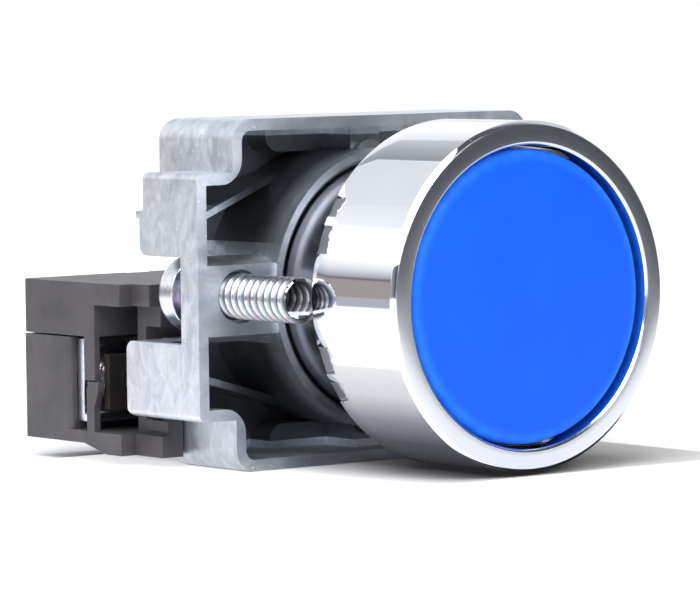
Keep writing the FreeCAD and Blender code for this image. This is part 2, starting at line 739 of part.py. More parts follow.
def clamp_screw(side):
    x = side * clamp_x
    tip = Part.makeCone(CLAMP_SCREW_RADIUS - CLAMP_TIP_CHAMFER, CLAMP_SCREW_RADIUS,
                        CLAMP_TIP_CHAMFER, V(x, CLAMP_TIP_Y, 0), V(0, 1, 0))
    shank_front = CLAMP_TIP_Y + CLAMP_TIP_CHAMFER
    shank = rod(CLAMP_SCREW_RADIUS, shank_front, clamp_head_front_y + JOIN, x, 0)
    head = pan_head(CLAMP_HEAD_RADIUS, CLAMP_HEAD_HEIGHT, CLAMP_HEAD_CROWN, clamp_head_front_y, x, 0)
    y0, y1 = clamp_head_rear_y - CLAMP_SLOT_DEPTH, clamp_head_rear_y + OVER
    half = CLAMP_SLOT_WIDTH / 2
    reach = CLAMP_HEAD_RADIUS - CLAMP_SLOT_EDGE
    slots = [block(x - half, x + half, y0, y1, -reach, reach),
             block(x - reach, x + reach, y0, y1, -half, half)]
    return fused([tip, shank, head]).cut(slots[0]).cut(slots[1])


# ---------------------------------------------------------------- contact block
def block_envelope():
    """The outside of the whole contact block with no hollows."""
    main = block(-block_side, block_side, block_front_y, block_rear_y, block_bottom_z, BLOCK_TOP_Z)
    y0, y1 = block_front_y, block_front_y + BLOCK_KEEL_LENGTH
    inside_z = block_bottom_z + JOIN
    slope = [V(-block_side, y0, inside_z), V(-block_side, y0, keel_z),
             V(-block_side, (y0 + y1) / 2 - BLOCK_KEEL_SLOPE, keel_z),
             V(-block_side, y1, block_bottom_z), V(-block_side, y1, inside_z)]
    keel_piece = Part.Face(Part.makePolygon(slope + slope[:1])).extrude(V(2 * block_side, 0, 0))
    return fused([main, keel_piece])


def nose():
    """The pair of side noses that reach forward into the gap of the collar."""
    y0, y1 = nose_front_y, chamber_front_y
    bottom = bay_bottom_z + NOSE_TO_EAR
    upper = block(-nose_outer_x, -nose_inner_x, y0, y1, BAND_BOTTOM_Z, BLOCK_TOP_Z)
    lower = block(-recess_x, -nose_inner_x, y0, y1, bottom, BLOCK_TOP_Z)
    return fused([upper, lower])


def cheek():
    """A side cheek that hugs the narrow part of the collar, with two long rails."""
    inner = -narrow_side - CHEEK_TO_COLLAR
    y0 = cheek_front_y
    body = block(-recess_x - CHEEK_PROUD, inner, y0, block_front_y + JOIN, keel_z, cheek_top_z)
    rail = block(-nose_outer_x, inner, y0, block_front_y + CHEEK_RAIL_LENGTH, keel_z, sill_top_z)
    groove_x = -recess_x - CHEEK_PROUD + CHEEK_GROOVE_SIZE
    groove_z = cheek_top_z - CHEEK_GROOVE_DROP
    groove = block(-block_side, groove_x, y0 - OVER, block_front_y, groove_z - CHEEK_GROOVE_SIZE, groove_z)
    return fused([body.cut(groove), rail])


def end_hollows():
    """Everything that is open at the left end: wire entry, side recess and the tower's bay."""
    far = block_side + OVER
    inner = -tower_inner_x
    rear = block_rear_y + OVER
    return [
        block(-far, inner, chamber_front_y, rear, sill_top_z, BRIM_BOTTOM_Z),
        block(-far, inner, chamber_front_y, strut_y, BRIM_BOTTOM_Z - SEAT_GAP, BAND_BOTTOM_Z),
        block(-far, -recess_x, block_front_y - OVER, chamber_front_y + SEAT_GAP, sill_top_z, BAND_BOTTOM_Z),
    ]


def strip_slot(sign):
    """The slot that lets a contact strip pass from its terminal into the chamber."""
    gap = SEAT_GAP
    x0, x1 = sorted((sign * (tower_inner_x + JOIN), sign * (chamber_half - JOIN)))
    z0 = terminal_z - STRIP_WIDTH / 2 - gap
    return block(x0, x1, strip_y - gap, strip_y + STRIP_THICKNESS + gap,
                 z0, z0 + STRIP_WIDTH + 2 * gap)


def block_shell():
    """The contact block's outer shell, hollowed, before it is split into two mouldings."""
    body = block_envelope()
    half = PUSHER_WIDTH / 2 + GUIDE_WALL
    half_z = PUSHER_HEIGHT / 2 + GUIDE_WALL
    guide_front = block_front_y - GUIDE_LENGTH
    guide = block(-half, half, guide_front, chamber_front_y, pusher_z - half_z, pusher_z + half_z)
    body = fused([body, guide, both_sides(nose()), both_sides(cheek())])
    body = body.cut(block(-chamber_half, chamber_half, chamber_front_y, chamber_rear_y,
                          sill_top_z, BLOCK_TOP_Z - BLOCK_WALL))
    half = PUSHER_WIDTH / 2 + SLIDE_GAP
    half_z = PUSHER_HEIGHT / 2 + SLIDE_GAP
    body = body.cut(block(-half, half, guide_front - OVER, chamber_front_y + OVER,
                          pusher_z - half_z, pusher_z + half_z))
    for hollow in end_hollows():
        body = body.cut(hollow).cut(mirrored(hollow))
    tip_hole = rod(TERMINAL_SCREW_RADIUS + TERMINAL_TIP_HOLE_GAP, block_front_y - OVER,
                   chamber_front_y + OVER, -terminal_x, terminal_z)
    body = body.cut(both_sides(tip_hole))
    return body.cut(strip_slot(1)).cut(strip_slot(-1))


def contact_cover():
    far = block_side + OVER
    rear = block_rear_y + OVER
    low = split_z + BLOCK_SPLIT_GAP / 2
    body = block_shell().common(block(-far, far, 0, rear, low, BLOCK_TOP_Z + OVER))
    strut_x = -block_side + STRUT_THICKNESS
    strut = block(-block_side, strut_x, strut_y, strut_y + STRUT_WIDTH, low, BRIM_BOTTOM_Z + JOIN)
    notch = block(*COVER_NOTCH_X, block_rear_y - COVER_NOTCH_DEPTH, rear,
                  BLOCK_TOP_Z - COVER_NOTCH_DROP, BLOCK_TOP_Z + OVER)
    return fused([body, both_sides(strut)]).cut(notch)


def terminal_tower():
    """The walled well round a terminal screw, open to the back for a screwdriver."""
    top = BRIM_BOTTOM_Z - TOWER_BRIM_GAP
    low = sill_top_z - TOWER_SILL_JOIN
    tower = block(-block_side, -tower_inner_x, tower_y, block_rear_y, low, top)
    outer_front = V(-block_side, tower_y, (low + top) / 2)
    edge = min(tower.Edges, key=lambda e: e.CenterOfMass.distanceToPoint(outer_front))
    tower = tower.makeFillet(TOWER_EDGE_ROUND, [edge])
    return tower.cut(rod(terminal_well, tower_y - OVER, block_rear_y + OVER, -terminal_x, terminal_z))


def latch_hook():
    """The snap hook that holds the two mouldings together, and the post it stands on."""
    high = split_z - BLOCK_SPLIT_GAP / 2
    x0, x1 = -block_side, -block_side + STRUT_THICKNESS
    front_inset, rear_inset = HOOK_POST_INSET
    post = block(x0, x1, strut_y + front_inset, strut_y + STRUT_WIDTH - rear_inset,
                 sill_top_z - TOWER_SILL_JOIN, high - JOIN)
    y0, y1 = strut_y - HOOK_OVERHANG, strut_y + STRUT_WIDTH - HOOK_OVERHANG
    low = high - HOOK_DROP
    corners = [V(x0, y0, high), V(x0, y1, high), V(x0, y1 - HOOK_DRAFT, low),
               V(x0, y0 + HOOK_CHAMFER, low), V(x0, y0, high - HOOK_LIP)]
    head = Part.Face(Part.makePolygon(corners + corners[:1])).extrude(V(x1 - x0, 0, 0))
    return fused([post, head])


def clip_tongue():
    """A tongue that passes through the collar's floor and hooks behind it."""
    x0 = -CLIP_TONGUE_X - CLIP_TONGUE_WIDTH / 2
    x1 = x0 + CLIP_TONGUE_WIDTH
    z0, z1 = tongue_z, tongue_z + CLIP_TONGUE_THICKNESS
    below, above = CLIP_TONGUE_FOOT
    y0, y1 = floor_y - CLIP_TONGUE_REACH, block_front_y + JOIN
    tongue = block(x0, x1, y0, y1, z0, z1)
    foot = block(x0, x1, collar_rear_y, y1, z0 - below, z1 + above)
    barb = block(x0, x1, y0, floor_y - SEAT_GAP / 2, z1 - FLOOR_JOIN, z1 + CLIP_TONGUE_BARB)
    return fused([tongue, foot, barb])


def contact_housing():
    far = block_side + OVER
    high = split_z - BLOCK_SPLIT_GAP / 2
    body = block_shell().common(block(-far, far, 0, block_rear_y + OVER, keel_z - OVER, high))
    extras = [both_sides(terminal_tower()), both_sides(latch_hook()), both_sides(clip_tongue())]
    return fused([body] + extras)


def contact_plunger():
    half = PUSHER_WIDTH / 2
    half_z = PUSHER_HEIGHT / 2
    cage = CAGE_WIDTH / 2
    cage_z = CAGE_WINDOW_HEIGHT / 2 + CAGE_BAR
    window_z = CAGE_WINDOW_HEIGHT / 2
    stem = block(-half, half, pusher_front_y, cage_front_y + JOIN, pusher_z - half_z, pusher_z + half_z)
    frame = block(-cage, cage, cage_front_y, cage_rear_y, pusher_z - cage_z, pusher_z + cage_z)
    window = block(-cage - OVER, cage + OVER, window_front_y, window_rear_y,
                   pusher_z - window_z, pusher_z + window_z)
    return fused([stem, frame]).cut(window)


def moving_bridge():
    half_z = CAGE_WINDOW_HEIGHT / 2 - BRIDGE_SIDE_GAP
    return block(-bridge_half, bridge_half, bridge_y, window_rear_y,
                 pusher_z - half_z, pusher_z + half_z)


def tips(y0):
    """A pair of silver contact rivets' faces, one on each side."""
    tip = rod(TIP_RADIUS, y0, y0 + TIP_HEIGHT, -tip_x, pusher_z)
    return Part.makeCompound([tip, mirrored(tip)])


def bridge_spring():
    return coil(BRIDGE_SPRING_RADIUS, BRIDGE_SPRING_WIRE, BRIDGE_SPRING_COILS,
                window_front_y, bridge_y, 0, pusher_z)


def pusher_spring():
    return coil(PUSHER_SPRING_RADIUS, PUSHER_SPRING_WIRE, PUSHER_SPRING_COILS,
                cage_rear_y, chamber_rear_y, 0, pusher_z)


# ---------------------------------------------------------------- terminals
# These are the left side's; the right side's are mirrored.
def fixed_contact():
    """A bent brass strip: tapped at the terminal, and carrying a silver tip in the chamber."""
    t = STRIP_THICKNESS
    outer = -block_side + STRIP_END_INSET
    riser = -chamber_half + SEAT_GAP
    inner = -tip_x + TIP_RADIUS + TIP_TO_STRIP_END
    terminal_low = terminal_z - STRIP_WIDTH / 2
    low, high = pusher_z - STRIP_WIDTH / 2, pusher_z + STRIP_WIDTH / 2
    terminal_high = terminal_low + STRIP_WIDTH
    pieces = [
        block(outer, riser + t, strip_y, strip_y + t, terminal_low, terminal_high),
        block(riser, riser + t, strip_y, strip_inner_y + t, low, high),
        block(riser, inner, strip_inner_y, strip_inner_y + t, low, high),
    ]
    tapped = rod(TERMINAL_SCREW_RADIUS + THREAD_GAP, 0, block_rear_y, -terminal_x, terminal_z)
    return fused(pieces).cut(tapped)


def terminal_saddle():
    """The captive clamping plate under the terminal screw's head."""
    x0, x1 = -terminal_x - saddle_half_length, -terminal_x + saddle_half_length
    z0, z1 = terminal_z - saddle_half_width, terminal_z + saddle_half_width
    y0, y1 = saddle_y, saddle_y + SADDLE_THICKNESS
    plate = block(x0, x1, y0, y1, z0, z1)
    lips = [
        block(x0, x1, y0 - SADDLE_LIP, y0 + SADDLE_LIP_JOIN, z0, z0 + SADDLE_LIP_THICKNESS),
        block(x0, x1, y0 - SADDLE_LIP, y0 + SADDLE_LIP_JOIN, z1 - SADDLE_LIP_THICKNESS, z1),
    ]
    hole = rod(TERMINAL_SCREW_RADIUS + SEAT_GAP, y0 - OVER, y1 + OVER, -terminal_x, terminal_z)
    return fused([plate] + lips).cut(hole)


def terminal_screw():
    tip_y = strip_y - TERMINAL_TIP_PROUD
    shank = rod(TERMINAL_SCREW_RADIUS, tip_y, head_y + JOIN, -terminal_x, terminal_z)
    head = pan_head(TERMINAL_HEAD_RADIUS, TERMINAL_HEAD_HEIGHT, TERMINAL_HEAD_CROWN, head_y,
                    -terminal_x, terminal_z)
    end = head_y + TERMINAL_HEAD_HEIGHT
    half = TERMINAL_SLOT_WIDTH / 2
    reach = TERMINAL_HEAD_RADIUS + OVER
    slot = block(-terminal_x - reach, -terminal_x + reach, end - TERMINAL_SLOT_DEPTH, end + OVER,
                 terminal_z - half, terminal_z + half)
    return fused([shank, head]).cut(slot)


os.makedirs("parts", exist_ok=True)
save("bezel", bezel())
save("head_barrel", head_barrel())
save("panel_gasket", panel_gasket())
save("cap_seal", cap_seal())
save("retaining_clip", retaining_clip())
save("button_cap", button_cap())
save("plunger", plunger())
save("return_spring", return_spring())
save("fixing_collar", fixing_collar())
save("clamp_screw_left", clamp_screw(-1))
save("clamp_screw_right", clamp_screw(1))
save("contact_housing", contact_housing())
save("contact_cover", contact_cover())
save("contact_plunger", contact_plunger())
save("moving_bridge", moving_bridge())
save("bridge_tips", tips(window_rear_y))
save("bridge_spring", bridge_spring())
save("pusher_spring", pusher_spring())
save("fixed_tips", tips(fixed_tip_y))
for side_name, placed in (("left", lambda shape: shape), ("right", mirrored)):
    save("fixed_contact_" + side_name, placed(fixed_contact()))
    save("terminal_saddle_" + side_name, placed(terminal_saddle()))
    save("terminal_screw_" + side_name, placed(terminal_screw()))
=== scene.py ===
import bpy
import json
import math
from mathutils import Matrix, Vector

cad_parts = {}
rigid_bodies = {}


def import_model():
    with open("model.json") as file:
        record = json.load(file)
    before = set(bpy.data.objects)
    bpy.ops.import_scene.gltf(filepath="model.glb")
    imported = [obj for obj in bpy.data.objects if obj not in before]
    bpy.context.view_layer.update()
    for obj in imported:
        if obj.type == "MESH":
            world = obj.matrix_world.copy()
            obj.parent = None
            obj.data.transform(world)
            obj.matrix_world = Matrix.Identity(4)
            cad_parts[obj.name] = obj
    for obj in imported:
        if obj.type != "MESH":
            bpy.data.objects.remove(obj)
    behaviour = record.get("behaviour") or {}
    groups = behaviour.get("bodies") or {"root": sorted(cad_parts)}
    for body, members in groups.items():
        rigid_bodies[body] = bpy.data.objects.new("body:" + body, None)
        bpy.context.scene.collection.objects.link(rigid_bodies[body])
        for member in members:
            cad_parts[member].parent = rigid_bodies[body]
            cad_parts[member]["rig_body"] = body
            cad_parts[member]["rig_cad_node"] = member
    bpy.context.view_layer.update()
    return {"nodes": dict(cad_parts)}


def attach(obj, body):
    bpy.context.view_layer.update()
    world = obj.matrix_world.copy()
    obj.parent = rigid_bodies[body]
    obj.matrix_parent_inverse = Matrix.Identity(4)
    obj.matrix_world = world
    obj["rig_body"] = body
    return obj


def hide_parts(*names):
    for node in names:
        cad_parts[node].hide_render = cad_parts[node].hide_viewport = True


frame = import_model()


# ================================================================ bezel
# The ring that shows in front of the panel. It is turned from bar, plated with bright chrome,
# and pressed on the barrel's flange. Two saw-tooth nicks in each quarter of its rear edge stop it
# from turning.
MM = 0.001
BEZEL_STEPS = 360
BEZEL_RADIUS = 14.75
BEZEL_FRONT = -11.0
BEZEL_FACE_FALL = 0.05       # the face leans back this much towards its rim
BEZEL_CHAMFER = 0.4
BEZEL_REAR_CHAMFER = 0.08
BEZEL_WELL = 12.73           # the well that the cap sinks in
BEZEL_WELL_CHAMFER = 0.2
BEZEL_FLOOR = 2.0            # from the well's bottom to the rear edge
BEZEL_HOLE = 11.0
BEZEL_RECESS = 13.05         # the gasket's seat in the rear
BEZEL_RECESS_DEPTH = 1.2
BEZEL_SHOULDER = 14.58       # the nicks are cut outside this radius
BEZEL_NICKS = ((15.3, 9.6, 1.45), (28.0, 7.2, 1.25))      # first degree, width in degrees, length
CHROME = (0.90, 0.915, 0.94, 1)
CHROME_SHADE = (0.80, 0.82, 0.86, 1)
# the turned face gets a darker chrome than the sides: painted shade for the grey room it mirrors
FACE_CHROME_PAINTED_SHADE = (0.50, 0.51, 0.56, 1)
NICK_GREY = (0.30, 0.31, 0.34, 1)


def lathe(name, outline, steps, weld=0.001):
    """Turns a closed outline of (radius, y) points about the Y axis, one extruded ring a point."""
    bpy.ops.object.select_all(action="DESELECT")
    radius, depth = outline[0]
    bpy.ops.mesh.primitive_circle_add(vertices=steps, radius=radius * MM,
                                      location=(0, depth * MM, 0), rotation=(math.pi / 2, 0, 0))
    piece = bpy.context.object
    piece.name = name
    bpy.ops.object.transform_apply(location=True, rotation=True, scale=True)
    bpy.ops.object.mode_set(mode="EDIT")
    bpy.ops.mesh.select_all(action="SELECT")
    for next_radius, next_depth in outline[1:] + outline[:1]:
        grow = next_radius / radius
        bpy.ops.mesh.extrude_region()
        bpy.ops.transform.translate(value=(0, (next_depth - depth) * MM, 0))
        bpy.ops.transform.resize(value=(grow, 1, grow), center_override=(0, 0, 0))
        radius, depth = next_radius, next_depth
    bpy.ops.mesh.select_all(action="SELECT")
    bpy.ops.mesh.remove_doubles(threshold=weld * MM)
    bpy.ops.mesh.normals_make_consistent(inside=False)
    bpy.ops.object.mode_set(mode="OBJECT")
    return piece


def pick(piece, wanted):
    """Opens the piece for editing with only the corners selected that the test wants."""
    bpy.ops.object.select_all(action="DESELECT")
    piece.select_set(True)
    bpy.context.view_layer.objects.active = piece
    bpy.ops.object.mode_set(mode="EDIT")
    bpy.ops.mesh.select_mode(type="VERT")
    bpy.ops.mesh.select_all(action="DESELECT")
    bpy.ops.object.mode_set(mode="OBJECT")
    for corner in piece.data.vertices:
        corner.select = wanted(corner.co / MM)
    bpy.ops.object.mode_set(mode="EDIT")


def apply_last(piece):
    """Makes the piece's newest modifier part of its mesh."""
    bpy.ops.object.select_all(action="DESELECT")
    piece.select_set(True)
    bpy.context.view_layer.objects.active = piece
    bpy.ops.object.modifier_apply(modifier=piece.modifiers[-1].name)


def break_edges(piece, width, segments=3, sharper_than=30):
    """Rounds every edge that is sharper than the angle."""
    edge = piece.modifiers.new("broken edges", "BEVEL")
    edge.width = width * MM
    edge.segments = segments
    edge.limit_method = "ANGLE"
    edge.angle_limit = math.radians(sharper_than)
    edge.use_clamp_overlap = True
    apply_last(piece)


def polish(piece, angle=38):
    """Shades curves smooth and keeps broad flats flat beside their rounded edges."""
    bpy.ops.object.select_all(action="DESELECT")
    piece.select_set(True)
    bpy.context.view_layer.objects.active = piece
    bpy.ops.object.shade_smooth_by_angle(angle=math.radians(angle))
    flats = piece.modifiers.new("flats", "WEIGHTED_NORMAL")
    flats.keep_sharp = True
    flats.weight = 80
    apply_last(piece)


class Grain:
    """A value that changes over a surface; sums on it become shader nodes."""

    def __init__(self, tree, socket=None):
        self.tree = tree
        self.socket = socket

    def node(self, kind, settings=None, sockets=None, output=0):
        """Adds one node: its settings first, then the values or links of its sockets."""
        made = self.tree.nodes.new(kind)
        for key, value in (settings or {}).items():
            if key == "stops":
                ramp = made.color_ramp.elements
                while len(ramp) < len(value):
                    ramp.new(1.0)
                for stop, (place, colour) in zip(ramp, value):
                    stop.position = place
                    stop.color = colour
            else:
                setattr(made, key, value)
        for key, value in (sockets or {}).items():
            if isinstance(value, Grain):
                self.tree.links.new(value.socket, made.inputs[key])
            else:
                made.inputs[key].default_value = value
        return Grain(self.tree, made.outputs[output])

    def sum(self, operation, *values, clamp=False):
        return self.node("ShaderNodeMath", {"operation": operation, "use_clamp": clamp},
                         dict(enumerate(values)))

    def __add__(self, other):
        return self.sum("ADD", self, other)

    __radd__ = __add__

    def __sub__(self, other):
        return self.sum("SUBTRACT", self, other)

    def __rsub__(self, other):
        return self.sum("SUBTRACT", other, self)

    def __mul__(self, other):
        return self.sum("MULTIPLY", self, other)

    __rmul__ = __mul__

    def __gt__(self, other):
        return self.sum("GREATER_THAN", self, other)

    def __lt__(self, other):
        return self.sum("LESS_THAN", self, other)

    def __abs__(self):
        return self.sum("ABSOLUTE", self)

    def clamped(self):
        return self.sum("MULTIPLY", self, 1, clamp=True)

    def noise(self, size, detail=3.0, **more):
        """Cloudy noise whose lumps are about the size, in millimetres."""
        sockets = {"Vector": self, "Scale": 1 / (size * MM), "Detail": detail}
        return self.node("ShaderNodeTexNoise", None, {**sockets, **more})

    def stretched(self, scale, turn=(0, 0, 0)):
        sockets = {"Vector": self, "Scale": scale, "Rotation": turn}
        return self.node("ShaderNodeMapping", None, sockets)

    def along(self, axis):
        return self.node("ShaderNodeSeparateXYZ", None, {0: self}, axis)

    def blend(self, low, high):
        """The colour low where this is 0, and high where it is 1."""
        return self.node("ShaderNodeMix", {"data_type": "RGBA"}, {0: self, 6: low, 7: high}, 2)


def new_finish(name):
    """A new material, the place on its piece, and a way to feed its shader's sockets."""
    finish = bpy.data.materials.new(name)
    finish.use_nodes = True
    tree = finish.node_tree
    shader = tree.nodes["Principled BSDF"]
    place = Grain(tree).node("ShaderNodeTexCoord", None, None, "Object")

    def feed(**sockets):
        for key, value in sockets.items():
            socket = shader.inputs[key.replace("_", " ")]
            if isinstance(value, Grain):
                tree.links.new(value.socket, socket)
            else:
                socket.default_value = value

    return finish, place, feed


def raised(height, depth, strength=1.0):
    """A surface whose height changes by up to the depth, in millimetres."""
    sockets = {"Height": height, "Distance": depth * MM, "Strength": strength}
    return height.node("ShaderNodeBump", None, sockets)


def fit(piece, body, slot, finish, *nodes):
    """Gives the piece its finish, and puts it in the place of its plain solids."""
    piece.data.materials.clear()
    piece.data.materials.append(finish)
    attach(piece, body)
    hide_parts(*nodes)


def hairlines(place, length, width, turn, rarity):
    """Thin straight marks that lie one way, only here and there."""
    lines = place.stretched((1 / length, 1 / width, 1 / length), turn).noise(1000, 1.0)
    patches = place.noise(length * 1.6, 1.0)
    return (lines > 0.74) * (patches > rarity)


bezel = lathe("chrome_bezel_ring", [
    (BEZEL_WELL + BEZEL_WELL_CHAMFER, BEZEL_FRONT),
    (BEZEL_RADIUS - BEZEL_CHAMFER, BEZEL_FRONT + BEZEL_FACE_FALL),
    (BEZEL_RADIUS, BEZEL_FRONT + BEZEL_CHAMFER + BEZEL_FACE_FALL),
    (BEZEL_RADIUS, -BEZEL_FLOOR),
    (BEZEL_RADIUS, -BEZEL_REAR_CHAMFER),
    (BEZEL_RADIUS - BEZEL_REAR_CHAMFER, 0),
    (BEZEL_SHOULDER + 0.02, 0),
    (BEZEL_SHOULDER - 0.02, 0),
    (BEZEL_RECESS, 0),
    (BEZEL_RECESS, -BEZEL_RECESS_DEPTH),
    (BEZEL_HOLE, -BEZEL_RECESS_DEPTH),
    (BEZEL_HOLE, -BEZEL_FLOOR),
    (BEZEL_WELL, -BEZEL_FLOOR),
    (BEZEL_WELL, BEZEL_FRONT + BEZEL_WELL_CHAMFER),
], BEZEL_STEPS)
break_edges(bezel, 0.045, 3, 20)
for first, width, length in BEZEL_NICKS:
    for degree in range(math.ceil(first), math.floor(first + width) + 1):
        def in_nick(p):
            round_edge = p.y > -0.3 and math.hypot(p.x, p.z) > BEZEL_SHOULDER
            return round_edge and abs(math.degrees(math.atan2(abs(p.z), abs(p.x))) - degree) < 0.3
        pick(bezel, in_nick)
        bpy.ops.transform.translate(value=(0, -length * (degree - first) / width * MM, 0))
        bpy.ops.object.mode_set(mode="OBJECT")
polish(bezel, 32)

chrome, place, feed = new_finish("bright_chrome")
across = place.stretched((1, 0, 1))
radius = across.node("ShaderNodeVectorMath", {"operation": "LENGTH"}, {0: across}, "Value")
face = place.along("Y") < (BEZEL_FRONT + 0.12) * MM
rings = radius.node("ShaderNodeTexNoise", {"noise_dimensions": "1D"},
                    {"W": radius, "Scale": 1 / (0.09 * MM), "Detail": 3.0})
smear = place.noise(5.0, 4.0)
pits = place.noise(0.35, 1.0) > 0.80
height, across_x = abs(place.along("Z")), abs(place.along("X"))
lean = height.sum("ARCTAN2", height, across_x) * (180 / math.pi)
cut = sum((lean > first) * (lean < first + width) for first, width, _ in BEZEL_NICKS).clamped()
ragged = place.noise(0.5, 3.0)
dull = cut * (place.along("Y") * (1 / MM) + ragged * 1.2 > -0.75)
marks = (hairlines(place, 5.0, 0.05, (0.4, 0.1, 0.9), 0.56)
         + hairlines(place, 3.5, 0.05, (1.3, 0.6, 0.2), 0.58)
         + pits * (place.noise(9.0, 2.0) > 0.5)).clamped()
# The face's chrome is painted darker than the sides' chrome (painted shade), ringed by its turning
# marks.
feed(Metallic=1.0,
     Base_Color=dull.blend(face.blend(smear.blend(CHROME, CHROME_SHADE),
                                      rings.blend(FACE_CHROME_PAINTED_SHADE, CHROME_SHADE)), NICK_GREY),
     Roughness=0.035 + smear * 0.035 + face * 0.15 + marks * 0.25 + dull * 0.35,
     Normal=raised(face * rings * 1.0 + marks * 0.35 + dull * ragged * 8, 0.006, 0.6))
fit(bezel, "base", "chrome_bezel", chrome, "bezel")


# ================================================================ barrel
# The tube that goes through the panel and carries the button. It is turned steel with a dark,
# shiny passivated skin, and the collar's bayonet grips its rear end.
BARREL_COLOUR = (0.52, 0.53, 0.57, 1)
BARREL_STAIN = (0.26, 0.26, 0.285, 1)


def fettled(node, name, width, segments=2, sharper_than=30, smooth=38):
    """A copy of a CAD solid with its seams welded, its flats made whole and its edges broken."""
    bpy.ops.object.select_all(action="DESELECT")
    source = frame["nodes"][node]
    source.select_set(True)
    bpy.context.view_layer.objects.active = source
    bpy.ops.object.duplicate()
    piece = bpy.context.object
    bpy.ops.object.parent_clear(type="CLEAR")
    piece.name = name
    del piece["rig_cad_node"]
    del piece["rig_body"]
    bpy.ops.mesh.customdata_custom_splitnormals_clear()
    bpy.ops.object.mode_set(mode="EDIT")
    bpy.ops.mesh.select_all(action="SELECT")
    bpy.ops.mesh.remove_doubles(threshold=0.001 * MM)
    bpy.ops.mesh.dissolve_limited(angle_limit=math.radians(0.6))
    bpy.ops.object.mode_set(mode="OBJECT")
    if width:
        break_edges(piece, width, segments, sharper_than)
    polish(piece, smooth)
    return piece


barrel = fettled("head_barrel", "threadless_barrel", 0.07)
barrel_steel, place, feed = new_finish("passivated_steel")
across = place.stretched((1, 0, 1))
turning = place.along("Y").node("ShaderNodeTexNoise", {"noise_dimensions": "1D"},
                                {"W": place.along("Y"), "Scale": 1 / (0.12 * MM), "Detail": 2.0})
stain = place.noise(3.0, 4.0)
feed(Metallic=1.0,
     Base_Color=stain.blend(BARREL_STAIN, BARREL_COLOUR),
     Roughness=0.16 + stain * 0.14,
     Normal=raised(turning, 0.006, 0.35))
fit(barrel, "base", "barrel_metal", barrel_steel, "head_barrel")


# ================================================================ gasket and seal
# The flat gasket between bezel and panel, and the lip seal inside the barrel. Both are moulded
# in black nitrile rubber and are only pushed into place.
RUBBER_COLOUR = (0.012, 0.012, 0.013, 1)
RUBBER_BLOOM = (0.035, 0.035, 0.037, 1)
rubber, place, feed = new_finish("nitrile_rubber")
bloom = place.noise(1.4, 4.0)
feed(Base_Color=bloom.blend(RUBBER_COLOUR, RUBBER_BLOOM),
     Roughness=0.55 + place.noise(0.5, 3.0) * 0.25,
     Normal=raised(place.noise(0.12, 3.0), 0.01, 0.5))
gasket = fettled("panel_gasket", "flat_gasket", 0.08)
fit(gasket, "base", "black_rubber", rubber, "panel_gasket")
seal = fettled("cap_seal", "lip_seal", 0.06)
fit(seal, "base", "black_rubber", rubber, "cap_seal")


# ================================================================ clip and springs
# The split ring that stops the button at the front, and the three coil springs. They are
# drawn spring wire and stamped strip, oiled and straw-grey.
STEEL_COLOUR = (0.58, 0.575, 0.56, 1)
STEEL_SHADE = (0.36, 0.34, 0.32, 1)


def dress(finish, *nodes):
    """Gives CAD solids that stay as they are their finish."""
    for node in nodes:
        for slot in frame["nodes"][node].material_slots:
            slot.material = finish


spring_wire, place, feed = new_finish("spring_steel_wire")
tone = place.noise(0.9, 3.0)
feed(Metallic=1.0,
     Base_Color=tone.blend(STEEL_SHADE, STEEL_COLOUR),
     Roughness=0.22 + tone * 0.2,
     Normal=raised(place.noise(0.06, 2.0), 0.003, 0.5))
dress(spring_wire, "return_spring", "bridge_spring", "pusher_spring")
clip = fettled("retaining_clip", "split_clip", 0.05)
fit(clip, "base", "spring_steel", spring_wire, "retaining_clip")


# ================================================================ cap
# The part that a finger presses: one moulding in blue acetal with a faintly domed, fine-grained
# face and a short skirt. Its middle prong snaps in the plunger.
CAP_STEPS = 192
CAP_RADIUS = 12.38
CAP_FRONT = -11.0
CAP_CROWN = 0.45
CAP_ROUND = 0.8
CAP_SKIRT_END = -8.1
CAP_SKIRT_BORE = 10.98
CAP_BACK = -9.4
PRONG_RADIUS = 4.2
PRONG_END = -5.4
CAP_BLUE = (0.0005, 0.066, 0.60, 1)
CAP_BLUE_PALE = (0.002, 0.112, 0.76, 1)
CAP_RIM_PALE = (0.02, 0.24, 0.96, 1)

flat_radius = CAP_RADIUS - CAP_ROUND
cap_outline = [(0.01, CAP_FRONT)]
for step in range(1, 11):
    out = flat_radius * step / 10
    cap_outline.append((out, CAP_FRONT + CAP_CROWN * (out / flat_radius) ** 2))
for step in range(1, 7):
    turn = math.radians(90 * step / 6)
    cap_outline.append((flat_radius + CAP_ROUND * math.sin(turn),
                        CAP_FRONT + CAP_CROWN + CAP_ROUND * (1 - math.cos(turn))))
cap_outline += [(CAP_RADIUS, CAP_SKIRT_END - 0.05), (CAP_RADIUS - 0.05, CAP_SKIRT_END),
                (CAP_SKIRT_BORE, CAP_SKIRT_END), (CAP_SKIRT_BORE, CAP_BACK),
                (PRONG_RADIUS, CAP_BACK), (PRONG_RADIUS, PRONG_END - 0.1),
                (PRONG_RADIUS - 0.1, PRONG_END), (0.01, PRONG_END)]
cap = lathe("blue_cap_moulding", cap_outline, CAP_STEPS, 0.02)
polish(cap, 40)

blue, place, feed = new_finish("blue_acetal")
across = place.stretched((1, 0, 1))
radius = across.node("ShaderNodeVectorMath", {"operation": "LENGTH"}, {0: across}, "Value")
spark = place.noise(0.16, 4.0, Roughness=0.65)
cloud = place.noise(6.0, 3.0)
# Towards its rounded edge the rim is a paler blue, in patches.
rim = ((radius * (1 / MM) - 11.2) * 1.1).clamped()
rim_patches = rim * place.noise(1.2, 4.0)
tint = (cloud * 0.5 + spark * 0.7 - 0.1).clamped()
feed(Base_Color=rim_patches.blend(tint.blend(CAP_BLUE, CAP_BLUE_PALE), CAP_RIM_PALE),
     Roughness=0.46 + spark * 0.22,
     Specular_IOR_Level=0.22,
     Normal=raised(spark, 0.03, 0.7))
fit(cap, "button", "blue_cap", blue, "button_cap")


